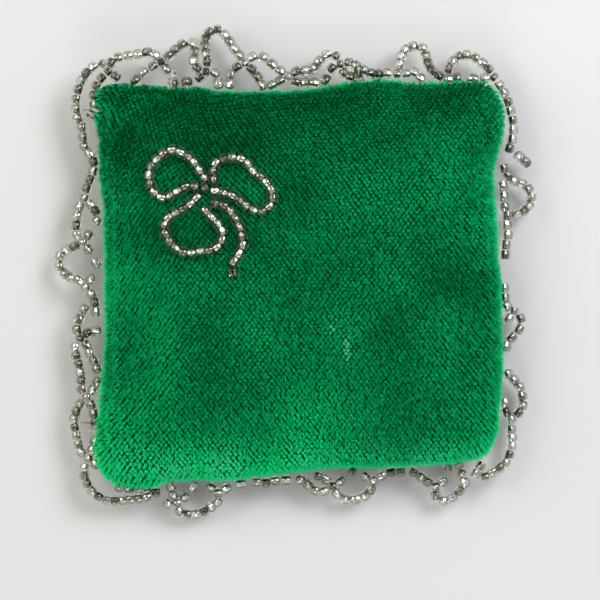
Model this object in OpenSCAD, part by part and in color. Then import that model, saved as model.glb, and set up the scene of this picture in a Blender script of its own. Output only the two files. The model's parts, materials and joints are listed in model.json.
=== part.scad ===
// Velvet hat-pin cushion with a netted bead edging and a sewn bead sprig.
// The cushion lies on its back. The origin is under its middle, on the resting face.

/* [Cushion] */
// Height of the stuffed cushion at its middle
cushion_height = 13.5; // [11:0.5:16]
// Height of the widest line of the cushion above the resting face
waist_height = 6.5; // [5.5:0.25:7.5]
// How far the velvet's pile stands out past the modelled cloth
pile_height = 0.8; // [0.6:0.1:1.2]
// Height of the seam at the middle of the cushion
seam_height = 6.3; // [6:0.1:6.6]
// Rise of the seam for each millimetre towards the top left corner
seam_tilt = 0.02; // [0:0.005:0.02]
// Thickness of the velvet front panel
velvet_thick = 1.1; // [0.8:0.1:1.4]
// Thickness of the cloth back panel
back_thick = 0.6; // [0.5:0.1:0.9]
// Width of the seam allowance turned inside
allowance = 4; // [3:0.5:6]

/* [Beads] */
// Outside diameter of a bead
bead_d = 2; // [1.8:0.05:2.1]
// Length of a bead along its hole
bead_len = 1.35; // [1.25:0.05:1.4]
// Diameter of the hole through a bead
bead_hole = 0.8; // [0.7:0.05:0.9]
// Distance from one bead to the next along a string, at the least
bead_pitch = 1.7; // [1.68:0.02:1.8]
// How far the edging droops for each millimetre out from the seam
edging_droop = 0.35; // [0.2:0.05:0.4]
// Height of the sprig's string above the cloth of the front panel
sprig_lift = 1.35; // [1.25:0.05:1.6]

/* [Threads] */
// Diameter of the beading thread
thread_d = 0.16; // [0.12:0.02:0.18]
// Diameter of the thread that closes the seam
seam_thread_d = 0.4; // [0.3:0.05:0.5]

/* [Hidden] */
$fn = 32;
round_steps = 2;           // points along each stretch of the cushion's outline
string_steps = 6;          // points along each stretch of a bead string
thread_sides = 4;          // sides of a modelled thread
ring_steps = [0.97, 0.9, 0.8, 0.68, 0.56, 0.44, 0.3]; // rings of a face, from its middle to the seam
crossing_room = 1.85;      // from a crossing bead to the first bead of a string
thread_shift = 0.12;       // keeps the two threads apart in a shared crossing bead
seam_gap = 0.5;            // room between the two panels for the seam thread
layer_gap = 0.12;          // room between one layer of the cushion and the next
net_reach = 39.5;          // from the middle to the seam line, where the edging starts to droop

// Outline of the velvet, anticlockwise from the middle of the right side
outline = [
    [40, -3.5], [39.8, 8.5], [39.2, 16.5], [38.8, 23], [40.2, 31], [39.8, 36.5], [37, 40],
    [31.5, 40], [25.5, 40], [16, 40.5], [8, 39.8], [-4, 38.7], [-20, 39], [-33.5, 39.5],
    [-38.5, 39], [-40, 36], [-39.5, 16.5], [-38.7, 6], [-38.6, -10], [-39.5, -23.5],
    [-40.2, -34], [-38.7, -39], [-34, -41], [-20, -40], [-10, -39.3], [0, -38.2],
    [7, -37.5], [20, -37.3], [31, -36.6], [36.5, -35], [39, -31], [40, -23.5], [40.4, -15.5]
];

// A scallop is [crossing bead, its turn, strings to the seam, strings to the next crossing beads].
// Each point is [x, y] or [x, y, extra height].
top_net = [
    [[-28, 44], 20,
        [[[-30, 42.8], [-31.5, 41.8], [-33, 40.2]], [[-26.8, 42.4], [-26, 41], [-25.5, 39.8]]],
        [[[-26.4, 45.2, 1], [-25, 46.6, 0.8], [-23.5, 47.7, 0.6], [-22, 47.8, 0.4], [-21.3, 46.4, 0.3],
          [-21.5, 44.8, 0.3], [-21.3, 43.4, 0.3], [-20.4, 42.4, 0.3], [-19, 42]],
         [[-29.3, 45.4, 1], [-31, 46], [-33, 45.5], [-36, 45], [-37.6, 44.5], [-38.5, 42]]]],
    [[-19, 42], 0,
        [[[-20.4, 40.8, -1.2], [-21.4, 40.1, -0.8], [-22.8, 39.9]],
         [[-17.4, 41.8], [-16.8, 40.8], [-16.5, 39.6]]],
        [[[-18.7, 44.6, 1.4], [-19.2, 46.6, 1.2], [-19.2, 48.6, 0.6], [-18.6, 50, 0.3], [-17.2, 50.7], [-15.7, 50.1],
          [-13, 46.3], [-11.2, 43.8]]]],
    [[-11.2, 43.8], 0,
        [[[-12.8, 43], [-13.9, 41.8], [-14.2, 39.6]], [[-10, 42.6], [-9, 41.5], [-7.8, 39.3]]],
        [[[-9.5, 45, 1], [-7.5, 45, 0.5], [-6, 43.8], [-4.5, 42.5], [-2.6, 41]]]],
    [[-2.6, 41], -20,
        [[[-4.5, 40], [-5.8, 39.2]], [[-1.2, 40, -0.4], [0.2, 39.8, -0.4], [1.4, 39.9], [2.6, 39.8]]],
        [[[-0.8, 42, 1], [0.8, 42.1, 1], [2.4, 42.8], [3.6, 44.2], [5, 45.5], [6.8, 45.5], [7.8, 43.6]]]],
    [[7.8, 43.6], 0,
        [[[6.4, 43], [5.6, 41.8], [5, 40.4]], [[8.6, 41.8, -0.3], [10, 41], [11.5, 40.5]]],
        [[[9.8, 43.8, 1], [11.6, 42.8, 1.5], [13.5, 41.8, 1], [15.5, 41.6], [17, 41.8], [19.2, 41.6]]]],
    [[19.2, 41.6], 0,
        [[[21, 41.6], [22.5, 42], [23.9, 40.8]]],
        [[[19.8, 43.4, 1], [20.2, 45.2, 1], [21.2, 46.7, 0.5], [22.9, 47.4], [24.6, 46.8], [25.2, 45],
          [25.7, 43.2, 0.5], [26.8, 41.6, 0.8], [28, 40.9, 0.5], [29.4, 40.6]]]],
    [[29.4, 40.6], 0,
        [[[31.2, 40.9], [33, 41], [34.5, 40.6]]],
        [[[29.6, 42.8, 1], [30.6, 44.3, 1], [32.2, 45.4, 0.5], [34.4, 45.3], [36.5, 43.8], [37.6, 42.6],
          [38.6, 41]]]]
];

right_net = [
    [[41.3, 13.3], 90,
        [[[40.8, 15.2], [40.6, 17], [40.4, 19.2]], [[41.2, 11.5], [41.4, 9.5], [41, 7.5], [40.9, 5.5]]],
        [[[43.2, 13.6, 0.8], [44.9, 14.5, 0.5], [46.1, 16], [46.2, 17.9], [45, 19.4], [43.2, 20.2], [41.6, 21.2],
          [40.7, 22.8], [40.5, 24.8]]]],
    [[42.8, -5.8], 78,
        [[[41.2, -4.8], [40.8, -3], [40.7, -1.2]], [[41.6, -7.4, -0.4], [40.8, -8.4, -0.4]]],
        [[[44.1, -7.4, 0.8], [43.9, -9.2, 0.5], [42.6, -10.8, 0.3], [41.3, -12.3], [40.8, -14.9]]]],
    [[42.2, -27.6], 100,
        [[[41.2, -26], [40.9, -24.2]]],
        [[[43.8, -26, 0.8], [44.6, -24.3, 0.3], [44.4, -22.5], [43.8, -20.9], [42.7, -19.6],
          [41.6, -18.4], [41, -16.6]]]]
];

bottom_net = [
    [[32.2, -38.4], -30,
        [[[31.6, -36.7, -0.5]]],
        [[[32.8, -40.2], [31.9, -41.8], [30.6, -43.1], [28.9, -43.9], [27.3, -43.2], [27, -41]]]],
    [[27, -41], 0,
        [[[28.6, -39.8], [29.3, -38.2], [29.5, -36.9]], [[25.4, -40], [24, -39], [22.6, -38.1]]],
        []],
    [[14.6, -39.7], 40,
        [[[13, -39], [12.4, -37.9]], [[16.2, -38.8], [18, -38.1], [20, -38]]],
        [[[14, -41.5, 0.5], [13, -42.8], [11, -43.6], [9, -43.6], [7.4, -42.6], [6.4, -40.8]]]],
    [[6.4, -40.8], 0,
        [[[8, -39.9], [9.4, -38.8], [10.2, -37.8]], [[5, -39.5], [3.5, -38.8]]],
        [[[4.6, -41.8, 0.5], [2.8, -41.7], [1.2, -40.4], [-0.5, -39.4], [-2, -39]]]],
    [[-7, -40.2], 0,
        [[[-5, -39.7], [-3, -39.6]], [[-9, -40], [-10.5, -40]]],
        []],
    [[-16.6, -42.2], 0,
        [[[-15, -41.3], [-13.6, -40.5], [-12, -40.3]], [[-18, -41.1], [-19.6, -40.6]]],
        [[[-16.8, -44, 0.5], [-18.4, -45.4], [-20.4, -46.4], [-22.6, -46.6], [-24.4, -46], [-24.8, -44.2]]]],
    [[-24.8, -44.2], 0,
        [[[-23.2, -43], [-22.2, -41.8], [-21.6, -40.9]], [[-25.6, -42.5], [-26, -40.8]]],
        [[[-26.2, -44.6, 0.5], [-27.6, -43.6, 0.5], [-29.1, -42.1]]]]
];

left_net = [
    [[-42.8, -23], 90,
        [[[-41.6, -21.5], [-40.7, -20]], [[-41.8, -24.8], [-41.4, -26.5], [-41, -28.4], [-40.9, -30]]],
        [[[-43.9, -21.2, 1], [-43.9, -19, 0.5], [-44.4, -17], [-45, -15], [-45.2, -13], [-44.2, -11.3]],
         [[-44.1, -24.4, 1], [-45, -26, 0.7], [-45.5, -28, 0.3], [-45.1, -30], [-44.7, -32], [-44, -34],
          [-42.4, -35.4]]]],
    [[-44.2, -11.3], 80,
        [[[-42.7, -10.2], [-41, -9.8]], [[-42.7, -12.8], [-42.1, -14.4], [-41.3, -16], [-40.7, -17.4]]],
        [[[-44.8, -9.4, 1], [-44.4, -7.6, 0.5], [-43.6, -5.8], [-42.2, -3.9]]]],
    [[-43, -1], 100,
        [[[-42, 0.5], [-40.8, 1.2]], [[-41.8, -2.6, -0.5], [-41.2, -4.2], [-40.9, -6]]],
        [[[-44.4, 0.5, 1], [-46, 0.9, 0.5], [-47.6, 1.9], [-48.5, 3.6], [-48.2, 5.4], [-46.8, 6.6], [-45.2, 7.3],
          [-43.6, 8]]]],
    [[-43.6, 8], 80,
        [[[-42.4, 9.6], [-41.6, 11], [-40.7, 12.2]], [[-42.4, 6.4], [-41.6, 5], [-40.8, 3.8]]],
        [[[-44.8, 9.7, 1], [-45, 11.5, 0.5], [-44.7, 13.5], [-44.2, 15.2], [-43.3, 16.8]]]],
    [[-43.3, 16.8], 80,
        [[[-42, 15.6], [-41, 14.2]]],
        [[[-42.9, 18.6], [-42.2, 20.3], [-41.5, 22], [-41.3, 23.8], [-42, 25.4], [-43.2, 27],
          [-43.6, 29], [-43.8, 31]]]]
];

// Each corner has its own scallop, and any crossing bead that it shares with a side.
corner_nets = [
    [[[-38.5, 42], 45,
        [[[-37, 41], [-35.8, 39.9]],
         [[-40, 40.5, -0.5], [-41, 38.9, -0.5], [-41.3, 37], [-41.1, 35], [-41, 33.5]]],
        [[[-40, 43.6, 1], [-41.8, 42.6, 1], [-43.2, 41.2, 0.5], [-44.2, 39.4], [-44.8, 37.4], [-45, 35.2],
          [-44.7, 33], [-43.8, 31]]]],
     [[-43.8, 31], 90, [], []]],
    [[[38.6, 41], -45,
        [[[36.8, 40.8], [35.8, 40.4]]],
        [[[39.6, 39.4], [40.6, 37.8], [41.4, 36], [42, 34], [42.4, 32], [42.4, 29.8], [42, 27.6], [41, 25]]]]],
    [[[35, -38.4], 60,
        [[[36, -36.8]]],
        [[[36.9, -38.9], [38.6, -38], [40.2, -36.9], [41.5, -35.5], [42.1, -33.8], [42.4, -32], [42.2, -29.8],
          [42.2, -27.6]]]]],
    [[[-42.4, -35.4], 100,
        [[[-41, -36.4], [-40.3, -37.4]], [[-41.8, -33.6], [-41.2, -32]]],
        [[[-43.3, -37.3, 0.5], [-43.2, -39.5], [-42, -41.6], [-40.5, -43], [-38.6, -43.8], [-36.5, -43.8],
          [-34.4, -43.5, 0.4], [-32.2, -43.3, 0.8], [-30.8, -42.9, 0.8], [-29.1, -42.1]]]],
     [[-29.1, -42.1], 0,
        [[[-31, -41.4, -1.3], [-33, -41.5, -1.2], [-35, -41.3, -0.6], [-36.4, -41, -0.4]]],
        []]]
];

// Strings of the sprig, from the centre bead outwards and back
sprig_centre = [-19, 18.6];
leaf_paths = [
    [[-19, 20.5], [-20.3, 22.6], [-21.6, 24.2], [-23.4, 25.4], [-25.5, 26], [-27.4, 25.1], [-28.9, 23.7],
     [-29.9, 21.6], [-29.6, 18.9], [-28.4, 17.2], [-26.8, 16.6], [-24, 18], [-22.4, 18.9], [-21, 18.8]],
    [[-17.1, 20], [-17.2, 21.8], [-16.8, 23.4], [-15.2, 24.3], [-13, 24.5], [-11, 23.8], [-9.5, 21.9],
     [-7.4, 20.2], [-6.1, 18.6], [-5.5, 16.8], [-6.1, 15], [-7.8, 13.9], [-10, 14.4], [-11.6, 15.8],
     [-13.2, 16.8], [-15, 17.6], [-17, 17.9]],
    [[-20.5, 16.6], [-22.3, 14.9], [-24.5, 13.8], [-26.3, 12.5], [-27.1, 10.6], [-26.4, 8.7], [-25.1, 7],
     [-23.6, 5.9], [-21.8, 5.7], [-20, 6.1], [-18, 6.2], [-16.2, 7.1], [-15.4, 8.9], [-15.9, 10.8],
     [-17.3, 12.3], [-18.8, 14]]
];
stem_path = [[-17, 15.6], [-14.6, 14.7], [-13, 12.5], [-11.8, 9.7], [-11.4, 7.6], [-12.2, 5.6], [-13.2, 4]];
stem_end = [-13.5, 1.9];

// Loose thread end beside the top right corner
tail_root = [41.6, 24.6];
tail_path = [[43.8, 25.2, 0.4], [45.2, 24.1]];

leaf_names = ["sprig_leaf_left", "sprig_leaf_right", "sprig_leaf_lower"];
corner_names = ["corner_top_left", "corner_top_right", "corner_bottom_right", "corner_bottom_left"];
side_names = ["top", "right", "bottom", "left"];
side_nets = [top_net, right_net, bottom_net, left_net];

// Smooth curve through a list of points
function bend(a, b, c, d, t) =
    0.5 * (2 * b + (c - a) * t + (2 * a - 5 * b + 4 * c - d) * t * t + (3 * b - a - 3 * c + d) * t * t * t);
function open_curve(p, steps) = let (last = len(p) - 1) concat(
    [for (i = [0:last - 1]) for (k = [0:steps - 1])
        bend(p[max(i - 1, 0)], p[i], p[i + 1], p[min(i + 2, last)], k / steps)],
    [p[last]]);
function closed_curve(p, steps) = let (n = len(p))
    [for (i = [0:n - 1]) for (k = [0:steps - 1])
        bend(p[(i + n - 1) % n], p[i], p[(i + 1) % n], p[(i + 2) % n], k / steps)];

// Distance along a curve to each of its points, and the place at a distance
function distances(p) =
    [for (i = 0, s = 0; i < len(p); s = s + (i + 1 < len(p) ? norm(p[i + 1] - p[i]) : 0), i = i + 1) s];
function place(p, d, s) = [for (k = [0:2]) lookup(s, [for (i = [0:len(p) - 1]) [d[i], p[i][k]]])];

// The cushion's surface at an angle up from its waist, and a depth inside the cloth's outer face
rim = closed_curve(outline, round_steps);
function rise(side, depth) =
    side > 0 ? cushion_height - pile_height - waist_height - depth : waist_height * 1.06 - depth;
function face_point(p, angle, depth) =
    let (
        shrink = (1 - (pile_height + depth) / norm(p)) * pow(cos(angle), 0.4),
        z = waist_height + sign(angle) * rise(angle, depth) * pow(abs(sin(angle)), 0.9)
    )
    [p.x * shrink, p.y * shrink, max(z, depth)];
function angle_at(z, depth) =
    let (up = z - waist_height)
    sign(up) * asin(pow(abs(up) / rise(up, depth), 1 / 0.9));
function seam_z(p) = seam_height + seam_tilt * (p.y - p.x);
function cloth_z(p) =
    let (across = max(abs(p.x), abs(p.y)) / (net_reach - pile_height))
    waist_height + rise(1, 0) * pow(1 - pow(across, 5), 0.45);

// Rings of one face from near its middle out to a height above or below the seam
function face_rings(side, depth, edge) = concat(
    [for (t = ring_steps) [for (p = rim)
        let (seam_angle = angle_at(seam_z(p), depth))
        face_point(p, seam_angle + (90 * side - seam_angle) * t, depth)]],
    [[for (p = rim) face_point(p, angle_at(seam_z(p) + side * edge, depth), depth)]]);
// Ring on the level of the seam, drawn in from the surface
function seam_ring(depth, height) =
    [for (p = rim) concat([p.x, p.y] * (1 - (pile_height + depth) / norm(p)), [seam_z(p) + height])];
function backwards(list) = [for (i = [len(list) - 1:-1:0]) list[i]];

// Closed skin over rings of points, from a point on the axis to another
module skin(rings, first, last) {
    n = len(rings[0]);
    count = len(rings);
    faces = concat(
        [for (i = [0:n - 1]) [count * n, (i + 1) % n, i]],
        [for (r = [0:count - 2]) for (i = [0:n - 1]) each [
            [r * n + i, r * n + (i + 1) % n, (r + 1) * n + (i + 1) % n],
            [r * n + i, (r + 1) * n + (i + 1) % n, (r + 1) * n + i]]],
        [for (i = [0:n - 1]) [count * n + 1, (count - 1) * n + i, (count - 1) * n + (i + 1) % n]]);
    polyhedron(concat([for (r = rings) each r], [first, last]), faces);
}

// One panel of cloth with its edge turned inside; side is 1 for the front and -1 for the back
module panel(side, thick) {
    outer = face_rings(side, 0, seam_gap / 2);
    turned = [for (h = [0, thick]) seam_ring(allowance, side * (seam_gap / 2 + h))];
    inner = backwards(face_rings(side, thick, seam_gap / 2 + thick));
    rings = concat(outer, turned, inner);
    top = waist_height + side * rise(side, 0);
    skin(
        side > 0 ? rings : [for (r = rings) backwards(r)],
        [0, 0, side > 0 ? top : 0],
        [0, 0, side > 0 ? top - thick : thick]);
}

// Round thread through a list of points
module thread(path, d, closed = false) {
    n = len(path);
    points = [for (i = [0:n - 1])
        let (
            before = path[closed ? (i + n - 1) % n : max(i - 1, 0)],
            after = path[closed ? (i + 1) % n : min(i + 1, n - 1)],
            ahead = (after - before) / norm(after - before),
            side = cross(ahead, [0, 0, 1]) / norm(cross(ahead, [0, 0, 1])),
            up = cross(side, ahead)
        )
        for (k = [0:thread_sides - 1])
            let (turn = (k + 0.5) * 360 / thread_sides)
            path[i] + d / 2 * (side * cos(turn) + up * sin(turn))];
    walls = [for (i = [0:closed ? n - 1 : n - 2]) for (k = [0:thread_sides - 1])
        let (a = i * thread_sides, b = ((i + 1) % n) * thread_sides, l = (k + 1) % thread_sides) each [
            [a + k, b + k, b + l],
            [a + k, b + l, a + l]]];
    ends = closed ? [] : [
        [for (k = [0:thread_sides - 1]) k],
        [for (k = [0:thread_sides - 1]) n * thread_sides - 1 - k]];
    polyhedron(points, concat(walls, ends));
}

// One seed bead, its hole along a direction
module bead(at, ahead) {
    barrel = bead_d * 0.4;
    color("#c8c6bd")
        translate(at)
            rotate([0, acos(ahead.z / norm(ahead)), atan2(ahead.y, ahead.x)])
                rotate_extrude()
                    intersection() {
                        translate([bead_d / 2 - barrel, 0])
                            circle(barrel);
                        translate([bead_hole / 2, -bead_len / 2])
                            square([bead_d, bead_len]);
                    }
}

// A string of the edging hangs from the seam; beads are spread evenly between its two end rooms
function drape(p) = [p.x, p.y,
    seam_z(p) - edging_droop * max(0, max(abs(p.x), abs(p.y)) - net_reach) + (len(p) > 2 ? p[2] : 0)];
function string(points) = open_curve([for (p = points) drape(p)], string_steps);
function bead_places(curve, first, last) =
    let (
        d = distances(curve),
        total = max(d[len(d) - 1] - first - last, 0),
        count = floor(total / bead_pitch)
    )
    [for (k = [0:count])
        let (s = first + (count > 0 ? total * k / count : 0))
        [place(curve, d, s), place(curve, d, s + 0.3) - place(curve, d, s - 0.3)]];

function crossing_turn(cell) = [cos(cell[1]), sin(cell[1]), 0];
function legs(cell) = [for (leg = cell[2]) bead_places(string(concat([cell[0]], leg)), crossing_room, 0)];
function loops(cell) = [for (loop = cell[3])
    bead_places(string(concat([cell[0]], loop)), crossing_room + 0.15, crossing_room + 0.15)];

module scallop(cell) {
    bead(drape(cell[0]), crossing_turn(cell));
    for (row = concat(legs(cell), loops(cell)))
        for (b = row)
            bead(b[0], b[1]);
}

// Way of a thread out of a crossing bead and round its shoulder, towards a place
function way_out(cell, towards) =
    let (
        at = drape(cell[0]),
        along = crossing_turn(cell) * (towards - at),
        turn = crossing_turn(cell) * (along < 0 ? -1 : 1),
        leaving = at + turn * (bead_len / 2 + 0.12)
    )
    [at + turn * 0.15, leaving, leaving + (towards - at - turn * abs(along)) * 0.6];
function through(row) =
    [for (b = row) for (half = [-0.5, 0.5]) b[0] + b[1] / norm(b[1]) * bead_len * half];
function stub(row) = let (b = row[len(row) - 1]) b[0] + b[1] / norm(b[1]) * (bead_len / 2 + 0.1);

module scallop_threads(cell) {
    color("#8d8f88") {
        for (row = legs(cell))
            translate([0, 0, -thread_shift])
                thread(concat(way_out(cell, through(row)[0]), through(row), [stub(row)]), thread_d);
        for (row = loops(cell))
            translate([0, 0, thread_shift])
                thread(concat(way_out(cell, through(row)[0]), through(row), [stub(row)]), thread_d);
    }
}

// Strings of the sprig, laid on the front panel
function sprig_string(path) =
    open_curve([for (p = path) [p.x, p.y, cloth_z(p) + sprig_lift]], string_steps);
function sprig_beads(path) = bead_places(sprig_string(path), 0, 0);

module sprig_part(path) {
    for (b = sprig_beads(path))
        bead(b[0], b[1]);
}

module front_panel() {
    color("#0a6b3c")
        panel(1, velvet_thick);
}

module back_panel() {
    color("#2d5a45")
        panel(-1, back_thick);
}

module stuffing() {
    front_depth = velvet_thick + layer_gap;
    back_depth = back_thick + layer_gap;
    front_edge = seam_gap / 2 + front_depth;
    back_edge = seam_gap / 2 + back_depth;
    rings = concat(
        face_rings(1, front_depth, front_edge),
        [seam_ring(allowance + layer_gap, front_edge), seam_ring(allowance + layer_gap, -back_edge)],
        backwards(face_rings(-1, back_depth, back_edge)));
    color("#e8e2d2")
        skin(rings, [0, 0, waist_height + rise(1, front_depth)], [0, 0, back_depth]);
}

module seam_thread() {
    color("#1f4d38")
        thread([for (p = seam_ring(seam_thread_d, 0)) p], seam_thread_d, closed = true);
}

module tail_beads() {
    for (b = bead_places(string(tail_path), 0, 0))
        bead(b[0], b[1]);
}

module tail_thread() {
    row = bead_places(string(tail_path), 0, 0);
    color("#8d8f88")
        thread(concat([drape(tail_root)], through(row), [stub(row)]), thread_d);
}

module sprig_stem() {
    sprig_part(stem_path);
    bead([stem_end.x, stem_end.y, cloth_z(stem_end) + bead_len / 2 + 0.3], [0, 0, 1]);
}

module sprig_centre_bead() {
    bead([sprig_centre.x, sprig_centre.y, cloth_z(sprig_centre) + sprig_lift], [1, 0.3, 0]);
}

module sprig_thread() {
    color("#8d8f88")
        for (path = concat(leaf_paths, [stem_path]))
            thread(through(sprig_beads(path)), thread_d);
}

front_panel();
back_panel();
stuffing();
seam_thread();
for (s = [0:3])
    for (i = [0:len(side_nets[s]) - 1])
        scallop(side_nets[s][i]);
for (s = [0:3])
    for (cell = side_nets[s])
            scallop_threads(cell);
for (c = [0:3])
    for (cell = corner_nets[c])
            scallop(cell);
for (c = [0:3])
    for (cell = corner_nets[c])
            scallop_threads(cell);
tail_beads();
tail_thread();
for (l = [0:2])
    sprig_part(leaf_paths[l]);
sprig_stem();
sprig_centre_bead();
sprig_thread();
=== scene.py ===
import json
import math

import bpy
import numpy as np
from mathutils import Matrix, Vector
from mathutils.bvhtree import BVHTree
from mathutils.kdtree import KDTree


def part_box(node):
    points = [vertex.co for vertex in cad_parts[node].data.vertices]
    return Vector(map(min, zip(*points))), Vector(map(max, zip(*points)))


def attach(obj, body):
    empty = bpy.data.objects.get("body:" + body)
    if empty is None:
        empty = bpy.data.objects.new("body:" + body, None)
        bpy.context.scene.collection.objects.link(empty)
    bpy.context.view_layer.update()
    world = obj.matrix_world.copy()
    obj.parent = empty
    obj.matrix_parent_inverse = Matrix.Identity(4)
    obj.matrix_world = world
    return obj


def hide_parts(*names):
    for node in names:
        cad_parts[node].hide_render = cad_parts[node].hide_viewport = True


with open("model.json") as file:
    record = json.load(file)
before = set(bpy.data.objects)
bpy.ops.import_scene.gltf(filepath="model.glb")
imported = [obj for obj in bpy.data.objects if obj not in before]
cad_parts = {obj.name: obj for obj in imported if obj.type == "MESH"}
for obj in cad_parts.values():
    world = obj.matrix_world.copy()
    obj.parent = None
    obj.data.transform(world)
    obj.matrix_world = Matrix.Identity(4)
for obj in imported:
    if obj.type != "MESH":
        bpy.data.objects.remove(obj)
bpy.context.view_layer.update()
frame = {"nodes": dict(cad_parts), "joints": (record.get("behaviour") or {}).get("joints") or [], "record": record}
mm = 0.001
bodyOf = {node: body for body, group in frame["record"]["behaviour"]["bodies"].items()
          for node in group}
print("frame loaded:", len(frame["nodes"]), "nodes")


# helpers for shader nodes

def newNode(nodes, kind, values=None, **settings):
    made = nodes.new("ShaderNode" + kind)
    for label, value in settings.items():
        setattr(made, label, value)
    for socket, value in (values or {}).items():
        made.inputs[socket].default_value = value
    return made


def newRamp(nodes, first, last, *between):
    # colour ramp; each stop is a place and a colour
    ramp = newNode(nodes, "ValToRGB")
    stops = ramp.color_ramp.elements
    for index, (spot, colour) in enumerate((first, last)):
        stops[index].position, stops[index].color = spot, (*colour, 1)
    for spot, colour in between:
        stops.new(spot).color = (*colour, 1)
    return ramp


def wire(links, *pairs):
    for source, target in pairs:
        links.new(source, target)


# camera, floor and light

cameraSetup = {"middle": (-0.2 * mm, -3.6 * mm), "across": 120 * mm, "level": 6.5 * mm,
               "lens": 150, "nearest": 0.01}
floorSetup = {"size": 3.0, "colour": (0.687, 0.684, 0.69), "roughness": 0.6, "specular": 0.2}
lightSetup = {
    "key": {"place": (0.30, 0.26, 0.42), "size": 0.30, "power": 2.36,
            "colour": (0.965, 0.975, 1.0)},
    "fill": {"place": (-0.05, -0.60, 0.40), "size": 0.35, "power": 1.2,
             "colour": (1.0, 0.985, 0.96)},
    "side": {"place": (-0.55, 0.20, 0.40), "size": 0.5, "power": 2.3,
             "colour": (1.0, 0.965, 0.82)},
}
skySetup = {"low": (0.92, 0.92, 0.92), "high": (0.40, 0.405, 0.41), "strength": 0.72}


def makeCamera(setup):
    data = bpy.data.cameras.new("camera")
    data.lens = setup["lens"]
    data.clip_start = setup["nearest"]
    camera = bpy.data.objects.new("camera", data)
    away = setup["across"] * setup["lens"] / data.sensor_width
    camera.location = (*setup["middle"], setup["level"] + away)
    bpy.context.scene.collection.objects.link(camera)
    bpy.context.scene.camera = camera


def makeLights(lights, sky):
    for name, setup in lights.items():
        data = bpy.data.lights.new(name, "AREA")
        data.size = setup["size"]
        data.energy = setup["power"]
        data.color = setup["colour"]
        lamp = bpy.data.objects.new(name, data)
        lamp.location = setup["place"]
        lamp.rotation_euler = (-Vector(setup["place"])).to_track_quat("-Z", "Y").to_euler()
        bpy.context.scene.collection.objects.link(lamp)
    world = bpy.data.worlds.new("studio")
    bpy.context.scene.world = world
    world.use_nodes = True
    nodes = world.node_tree.nodes
    direction = newNode(nodes, "TexCoord")
    split = newNode(nodes, "SeparateXYZ")
    ramp = newRamp(nodes, (0, sky["low"]), (1, sky["high"]))
    wire(world.node_tree.links,
         (direction.outputs["Generated"], split.inputs[0]),
         (split.outputs["Z"], ramp.inputs["Fac"]),
         (ramp.outputs["Color"], nodes["Background"].inputs["Color"]))
    nodes["Background"].inputs["Strength"].default_value = sky["strength"]


makeCamera(cameraSetup)
makeLights(lightSetup, skySetup)
bpy.context.scene.view_settings.view_transform = "Standard"
print("camera and lights made")


# mesh helpers

def meshPiece(name, points, triangles, uvs=None, **pointValues):
    # pointValues hold one number for each point, which the materials read by name
    points, triangles = np.asarray(points, np.float32), np.asarray(triangles, np.int32)
    mesh = bpy.data.meshes.new(name)
    mesh.vertices.add(len(points))
    mesh.vertices.foreach_set("co", points.ravel())
    mesh.loops.add(triangles.size)
    mesh.loops.foreach_set("vertex_index", triangles.ravel())
    mesh.polygons.add(len(triangles))
    mesh.polygons.foreach_set("loop_start", np.arange(0, triangles.size, 3, dtype=np.int32))
    mesh.polygons.foreach_set("use_smooth", np.ones(len(triangles), bool))
    for label, values in pointValues.items():
        layer = mesh.attributes.new(label, "FLOAT", "POINT")
        layer.data.foreach_set("value", np.asarray(values, np.float32))
    if uvs is not None:
        layer = mesh.uv_layers.new(name="OFBake")
        layer.data.foreach_set("uv", np.asarray(uvs, np.float32)[triangles.ravel()].ravel())
    mesh.update(calc_edges=True)
    piece = bpy.data.objects.new(name, mesh)
    bpy.context.scene.collection.objects.link(piece)
    return piece


def place(piece, body, slot, material, *standsFor):
    piece.data.materials.clear()
    piece.data.materials.append(material)
    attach(piece, body)
    if standsFor:
        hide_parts(*standsFor)


def gridTriangles(rows, columns, wrapRows=False):
    # quads between rings of points, split in two; columns always close on themselves
    ring = np.arange(rows if wrapRows else rows - 1)[:, None]
    r, nextR = ring * columns, (ring + 1) % rows * columns
    c = np.arange(columns)[None, :]
    nextC = (c + 1) % columns
    a, b, d, e = r + c, r + nextC, nextR + nextC, nextR + c
    return np.stack([np.stack([a, b, d], -1), np.stack([a, d, e], -1)], 2).reshape(-1, 3)


def closedRings(rings, first, last, outwards):
    # skin over rings, closed with a point at each end
    count, columns = rings.shape[:2]
    points = np.concatenate([rings.reshape(-1, 3), [first, last]])
    c = np.arange(columns)
    nextC = (c + 1) % columns
    start = np.stack([np.full(columns, count * columns), nextC, c], -1)
    lastRing = (count - 1) * columns
    end = np.stack([np.full(columns, count * columns + 1), lastRing + c, lastRing + nextC], -1)
    triangles = np.concatenate([gridTriangles(count, columns), start, end])
    return points, triangles if outwards else triangles[:, ::-1]


def joined(parts):
    # one mesh from pairs of points and triangles
    points, triangles, start = [], [], 0
    for p, t in parts:
        points.append(p)
        triangles.append(t + start)
        start += len(p)
    return np.concatenate(points), np.concatenate(triangles)


def cloud(x, y, size, seed):
    # smooth random field between 0 and 1; the offset keeps the cell numbers positive
    cells, offset = 64, 1000
    table = np.random.default_rng(seed).random((cells, cells))
    gx, gy = x / size + offset, y / size + offset
    ix, iy = np.floor(gx).astype(int), np.floor(gy).astype(int)
    fx, fy = gx - ix, gy - iy
    fx, fy = fx * fx * (3 - 2 * fx), fy * fy * (3 - 2 * fy)
    ix, iy, nextX, nextY = ix % cells, iy % cells, (ix + 1) % cells, (iy + 1) % cells
    near = table[ix, iy] * (1 - fx) + table[nextX, iy] * fx
    far = table[ix, nextY] * (1 - fx) + table[nextX, nextY] * fx
    return near * (1 - fy) + far * fy


def unit(v):
    return v / np.maximum(np.linalg.norm(v, axis=-1, keepdims=True), 1e-12)


def meshPoints(mesh):
    co = np.empty(len(mesh.vertices) * 3, np.float32)
    mesh.vertices.foreach_get("co", co)
    return co.reshape(-1, 3).astype(float)


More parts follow.
